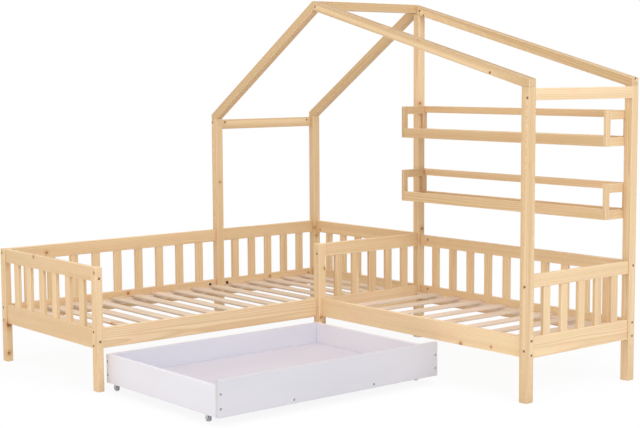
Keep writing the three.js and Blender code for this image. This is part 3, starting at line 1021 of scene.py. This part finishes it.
def makeBases():
    low, high = corners("slat_base_long_bed")
    fit, wide = joinery["fit"], slats["batten"]
    top = high.z - slats["thickness"] + fit
    under = high.z - slats["thickness"] + slats["housing"] - slats["battenHeight"]
    bays = {
        "rear": (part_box("post_left_front")[1][1] + fit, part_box("post_left_rear")[0][1] - fit),
        "front": (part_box("post_foot_left")[1][1] + fit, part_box("post_left_front")[0][1] - fit),
    }
    pieces = []
    for bay, middles, start, end in longSlats():
        pieces.append(slatRow(bay + "_slats", start, end, 1, middles))
        for side, edge in (("left", low.x), ("right", end.x - wide)):
            span = bays[bay]
            pieces.append(boardMesh(
                (edge, span[0], under), (edge + wide, span[1], top), "y", f"batten_{bay}_{side}"))
    base = show("slat_base_long", joinMeshes("slat_base_long", pieces, ["slats"] * len(pieces)))
    finishPiece(base, "bed", "slats", "slat_base_long_bed")

    low, high = corners("slat_base_short_bed")
    pieces = [slatRow("short_slats", low, high, 0, slatMiddles(low.x, high.x, slats["shortCount"]))]
    for side, edge in (("front", low.y), ("rear", high.y - wide)):
        pieces.append(boardMesh(
            (low.x, edge, under), (high.x, edge + wide, top), "x", "batten_short_" + side))
    base = show("slat_base_short", joinMeshes("slat_base_short", pieces, ["slats"] * len(pieces)))
    finishPiece(base, "bed", "slats", "slat_base_short_bed")


# Shelves
shelfEnd = {"stile": 0.030, "rail": 0.042, "round": 0.002, "screwIn": 0.015}


def makeShelfEnd(node):
    low, high = corners(node)
    stile, rail, eased = shelfEnd["stile"], shelfEnd["rail"], shelfEnd["round"]
    inside = (low.y + stile + joinery["fit"], high.y - stile - joinery["fit"])
    pieces = [
        boardMesh(low, (high.x, low.y + stile, high.z), "z", node + "_a", eased),
        boardMesh((low.x, high.y - stile, low.z), high, "z", node + "_b", eased),
        boardMesh((low.x, inside[0], low.z), (high.x, inside[1], low.z + rail), "y", node + "_c", eased),
        boardMesh((low.x, inside[0], high.z - rail), (high.x, inside[1], high.z), "y", node + "_d", eased),
    ]
    piece = show(node + "_frame", joinMeshes(node, pieces, ["pine"] * 4))
    finishTimber(piece, node)


def makeShelves():
    for level in ("lower", "upper"):
        for side in ("left", "right"):
            makeShelfEnd(f"shelf_{level}_end_{side}")
        for part in ("front_lip", "rear_rail", "top_rail", "floor"):
            node = f"shelf_{level}_{part}"
            finishTimber(makeBoardPiece(node), node)


# Drawer
drawerRound = 0.0012
# Each drawer board and the copy of the paint it gets, with painted light and shade on one white paint
drawerLitAndShadedPaint = {
    "front": "front",
    "side_rear": "farSide",
    "side_foot": "side",
    "back": "back",
    "floor": "floor",
}


def makeDrawer():
    for part, key in drawerLitAndShadedPaint.items():
        node = "drawer_" + part
        finishPiece(makeBoardPiece(node, key=key, roundness=drawerRound), "drawer", "paint", node)


# Casters
caster = {
    "radius": 0.017, "width": 0.012, "bore": 0.0034, "steps": 40,
    "hub": (0.0025, 0.004, 0.005),  # past the bore: the hub's chamfer, its rim and its foot
    "boreFace": 0.9, "web": 0.7, "rim": (0.72, 0.76), "tread": (0.002, 0.0006),
    "gap": 0.001, "sheet": 0.0018, "plateLength": 0.032, "plateWidth": 0.022,
    "cheekTop": 0.026, "cheekFoot": 0.0065, "cheekSteps": 8, "axle": 0.003,
    "rivet": 0.0045, "rivetHead": 0.0016, "rivetOut": 0.3, "rivetSides": 20,
}


def wheelMesh(name):
    radius, half, bore = caster["radius"], caster["width"] / 2, caster["bore"]
    chamfer, rim, foot = (bore + past for past in caster["hub"])
    inner, outer = (radius * share for share in caster["rim"])
    wide, narrow = caster["tread"]
    web = half * caster["web"]
    side = [
        (bore, half * caster["boreFace"]), (chamfer, half), (rim, half), (foot, web), (inner, web),
        (outer, half), (radius - wide, half), (radius - narrow, half - narrow), (radius, half - wide),
    ]
    profile = [(distance, -reach) for distance, reach in side] + side[::-1]
    steps = caster["steps"]
    build = bmesh.new()
    rings = []
    for distance, offset in profile:
        rings.append([build.verts.new((
            distance * math.sin(2 * math.pi * i / steps), offset,
            distance * math.cos(2 * math.pi * i / steps))) for i in range(steps)])
    for first, second in zip(rings, rings[1:] + rings[:1]):
        bridge(build, first, second)
    bmesh.ops.recalc_face_normals(build, faces=build.faces)
    for face in build.faces:
        face.smooth = True
    return meshFrom(build, name)


def forkMesh(name, height):
    build = bmesh.new()
    sheet, half = caster["sheet"], caster["width"] / 2 + caster["gap"]
    plate = bmesh.ops.create_cube(build, size=1)
    for vertex in plate["verts"]:
        vertex.co = Vector((
            vertex.co.x * caster["plateLength"], vertex.co.y * caster["plateWidth"],
            height - sheet / 2 + vertex.co.z * sheet))
    foot, top, axle = caster["cheekFoot"], caster["cheekTop"] / 2, caster["radius"]
    outline = [(top, height - sheet)]
    for i in range(caster["cheekSteps"] + 1):
        angle = -math.pi * i / caster["cheekSteps"]
        outline.append((foot * math.cos(angle), axle + foot * math.sin(angle)))
    outline.append((-top, height - sheet))
    for side in (-1, 1):
        inner = [build.verts.new((px, side * half, pz)) for px, pz in outline]
        outer = [build.verts.new((px, side * (half + sheet), pz)) for px, pz in outline]
        build.faces.new(inner)
        build.faces.new(outer[::-1])
        bridge(build, outer, inner)
    across = Matrix.Rotation(math.pi / 2, 4, "X")
    reach = half + sheet
    head = reach + caster["rivetOut"] * caster["rivetHead"]
    turned = [
        (caster["axle"], 2 * reach, 0.0),
        (caster["rivet"], caster["rivetHead"], -head),
        (caster["rivet"], caster["rivetHead"], head),
    ]
    for radius, length, centre in turned:
        bmesh.ops.create_cone(
            build, cap_ends=True, segments=caster["rivetSides"], depth=length,
            radius1=radius, radius2=radius,
            matrix=Matrix.Translation((0, centre, axle)) @ across)
    bmesh.ops.recalc_face_normals(build, faces=build.faces)
    return meshFrom(build, name)


def makeCasters():
    for node in [name for name in nodes if name.startswith("caster_wheel")]:
        place = (Vector(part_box(node)[0]) + Vector(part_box(node)[1])) / 2
        mesh = wheelMesh(node)
        mesh.transform(Matrix.Translation(place))
        mesh.materials.append(materials["plastic"])
        finishPiece(show(node + "_tread", mesh), node.replace("caster_", ""), "wheel", node)
        fork = node.replace("wheel", "fork")
        mesh = forkMesh(fork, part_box(fork)[1][2])
        mesh.transform(Matrix.Translation((place.x, place.y, 0)))
        mesh.materials.append(materials["zinc"])
        finishPiece(show(fork + "_bracket", mesh), "drawer", "steel", fork)


# Fixings
fixings = {
    "screwRadius": 0.0055,
    "slatScrewRadius": 0.0030,
    "slatScrewIn": 0.012,
    "slatScrewApart": 0.5,  # share of the slat's width
    "drawerEndIn": 0.013,
    "drawerHeights": (0.038, 0.101),
    "drawerBottom": 0.232,
    "drawerBottomHeight": 0.018,
}


def drawerScrews():
    low, high = corners("drawer_front")
    places = []
    for y in (low.y + fixings["drawerEndIn"], high.y - fixings["drawerEndIn"]):
        for height in fixings["drawerHeights"]:
            places.append(((high.x, y, low.z + height), (1, 0, 0)))
    middle = (low.y + high.y) / 2
    for side in (-1, 1):
        y = middle + side * fixings["drawerBottom"]
        places.append(((high.x, y, low.z + fixings["drawerBottomHeight"]), (1, 0, 0)))
    low, high = corners("drawer_back")
    for part, sign in (("side_rear", 1), ("side_foot", -1)):
        sideLow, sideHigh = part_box("drawer_" + part)
        for height in fixings["drawerHeights"]:
            y = sideHigh[1] if sign > 0 else sideLow[1]
            places.append((((low.x + high.x) / 2, y, low.z + height), (0, sign, 0)))
    return places


def slatScrews():
    places = []
    inset, apart = fixings["slatScrewIn"], slats["width"] * fixings["slatScrewApart"] / 2
    low, high = corners("slat_base_short_bed")
    for x in slatMiddles(low.x, high.x, slats["shortCount"]):
        for y in (low.y + inset, high.y - inset):
            places += [((x + shift, y, high.z), (0, 0, 1)) for shift in (-apart, apart)]
    for _, middles, start, end in longSlats():
        for y in middles:
            for x in (start.x + inset, end.x - inset):
                places += [((x, y + shift, end.z), (0, 0, 1)) for shift in (-apart, apart)]
    return places


def shelfScrews():
    places = []
    for node in nodes:
        if node.startswith("shelf_") and "_end_" in node:
            low, high = corners(node)
            sign = 1 if node.endswith("left") else -1
            x = high.x if sign > 0 else low.x
            for z in (low.z + shelfEnd["rail"] / 2, high.z - shelfEnd["rail"] / 2):
                places.append(((x, high.y - shelfEnd["screwIn"], z), (sign, 0, 0)))
    return places


def makeFixings():
    bolt = headMesh("boltHead", "bolt", holes["boltRadius"])
    nut = headMesh("barrelNut", "nut", holes["nutRadius"])
    wide = headMesh("wideNut", "nut", holes["wideNutRadius"])
    makeHeads("bolt_heads", "bed", "steel", flat(boltPlaces), bolt, "bronze", holes["sunk"])
    makeHeads("barrel_nuts", "bed", "steel", flat(nutPlaces), nut, "bronze", holes["sunk"])
    widePlaces = [onRightFace(place) for _, place in wideNuts]
    makeHeads("wide_nuts", "bed", "steel", widePlaces, wide, "black", holes["sunk"])
    screw = headMesh("screwHead", "screw", fixings["screwRadius"])
    makeHeads("drawer_screws", "drawer", "steel", drawerScrews(), screw, "screw")
    small = headMesh("slatScrew", "small", fixings["slatScrewRadius"])
    makeHeads("slat_screws", "bed", "steel", slatScrews(), small, "screw")
    makeHeads("shelf_screws", "bed", "steel", shelfScrews(), small.copy(), "bronze")


# Stage
stage = {
    "floorSize": 60.0,
    "white": (0.92, 0.92, 0.93, 1),
    "roughness": 0.9,
    "glow": 0.90,  # share of plain white that the camera sees near the bed, the rest shows the shadows
    "fade": (2.0, 6.0),  # distances from the bed over which the floor turns plain white
    "sky": 0.66,
    "aim": (0, 0, 0.6),
}
lamps = [
    {"name": "key", "place": (5.5, -0.5, 4.2), "size": 4.5, "power": 168.0, "colour": (0.88, 1.0, 1.22)},
    {"name": "fill", "place": (0.5, -7.0, 1.4), "size": 5.0, "power": 102.0, "colour": (1.0, 0.95, 0.88)},
    {"name": "top", "place": (0.0, 0.0, 5.5), "size": 6.0, "power": 108.0, "colour": (1.0, 1.0, 1.0)},
]
photoCamera = {
    "place": (5.2465, -4.222, 1.460),
    "heading": 140.56,
    "down": 5.77,
    "roll": 0.31,
    "focalPixels": 1373.0,
    "frameWidth": 640.0,
    "sensor": 36.0,
    "farthest": 100,
}


def seenStraight(tree):
    path = put(tree, "ShaderNodeLightPath")
    seen = math1(tree, "MAXIMUM", path.outputs["Is Camera Ray"], path.outputs["Is Glossy Ray"])
    return math1(tree, "MAXIMUM", seen, path.outputs["Is Transmission Ray"])


def makeStage():
    mesh = bpy.data.meshes.new("floor")
    half = stage["floorSize"] / 2
    mesh.from_pydata(
        [(-half, -half, 0), (half, -half, 0), (half, half, 0), (-half, half, 0)], [], [(0, 1, 2, 3)])
    floor = show("floor", mesh)
    made, tree, shader = material("paleFloor")
    shader.inputs["Base Color"].default_value = stage["white"]
    shader.inputs["Roughness"].default_value = stage["roughness"]
    seen = seenStraight(tree)
    here = objectPlace(tree)
    glowing = ramp(tree, vector3(tree, "LENGTH", here), *stage["fade"], stage["glow"], 1.0)
    seen = math1(tree, "MULTIPLY", seen, glowing)
    glow = put(tree, "ShaderNodeEmission", {"Strength": 1.0})
    mixed = put(tree, "ShaderNodeMixShader", {0: seen, 1: shader.outputs[0], 2: glow.outputs[0]})
    output = next(item for item in tree.nodes if item.type == "OUTPUT_MATERIAL")
    tree.links.new(mixed.outputs[0], output.inputs["Surface"])
    mesh.materials.append(made)

    world = bpy.data.worlds.new("studio")
    scene.world = world
    world.use_nodes = True
    tree = world.node_tree
    tree.nodes.clear()
    seen = seenStraight(tree)
    strength = ramp(tree, seen, 0.0, 1.0, stage["sky"], 1.0)
    sky = put(tree, "ShaderNodeBackground", {"Color": (1, 1, 1, 1), "Strength": strength})
    put(tree, "ShaderNodeOutputWorld", {0: sky.outputs[0]})

    for lamp in lamps:
        data = bpy.data.lights.new(lamp["name"], "AREA")
        data.energy = lamp["power"]
        data.shape = "DISK"
        data.size = lamp["size"]
        data.color = lamp["colour"]
        light = bpy.data.objects.new(lamp["name"], data)
        scene.collection.objects.link(light)
        light.location = lamp["place"]
        aim = Vector(stage["aim"]) - light.location
        light.rotation_euler = aim.to_track_quat("-Z", "Y").to_euler()


def makeCamera():
    view = photoCamera
    data = bpy.data.cameras.new("photoCamera")
    data.sensor_width = view["sensor"]
    data.lens = view["focalPixels"] / view["frameWidth"] * view["sensor"]
    data.clip_end = view["farthest"]
    camera = bpy.data.objects.new("photoCamera", data)
    scene.collection.objects.link(camera)
    turn = (
        Matrix.Rotation(math.radians(view["heading"] - 90), 4, "Z")
        @ Matrix.Rotation(math.radians(90 - view["down"]), 4, "X")
        @ Matrix.Rotation(math.radians(-view["roll"]), 4, "Z"))
    camera.matrix_world = Matrix.Translation(view["place"]) @ turn
    scene.camera = camera
    scene.view_settings.view_transform = "Standard"


makeTimber()
print("timber")
makeBases()
makeShelves()
print("bases and shelves")
makeDrawer()
makeCasters()
print("drawer and casters")
makeFixings()
print("fixings")
makeStage()
makeCamera()
print("stage and camera")
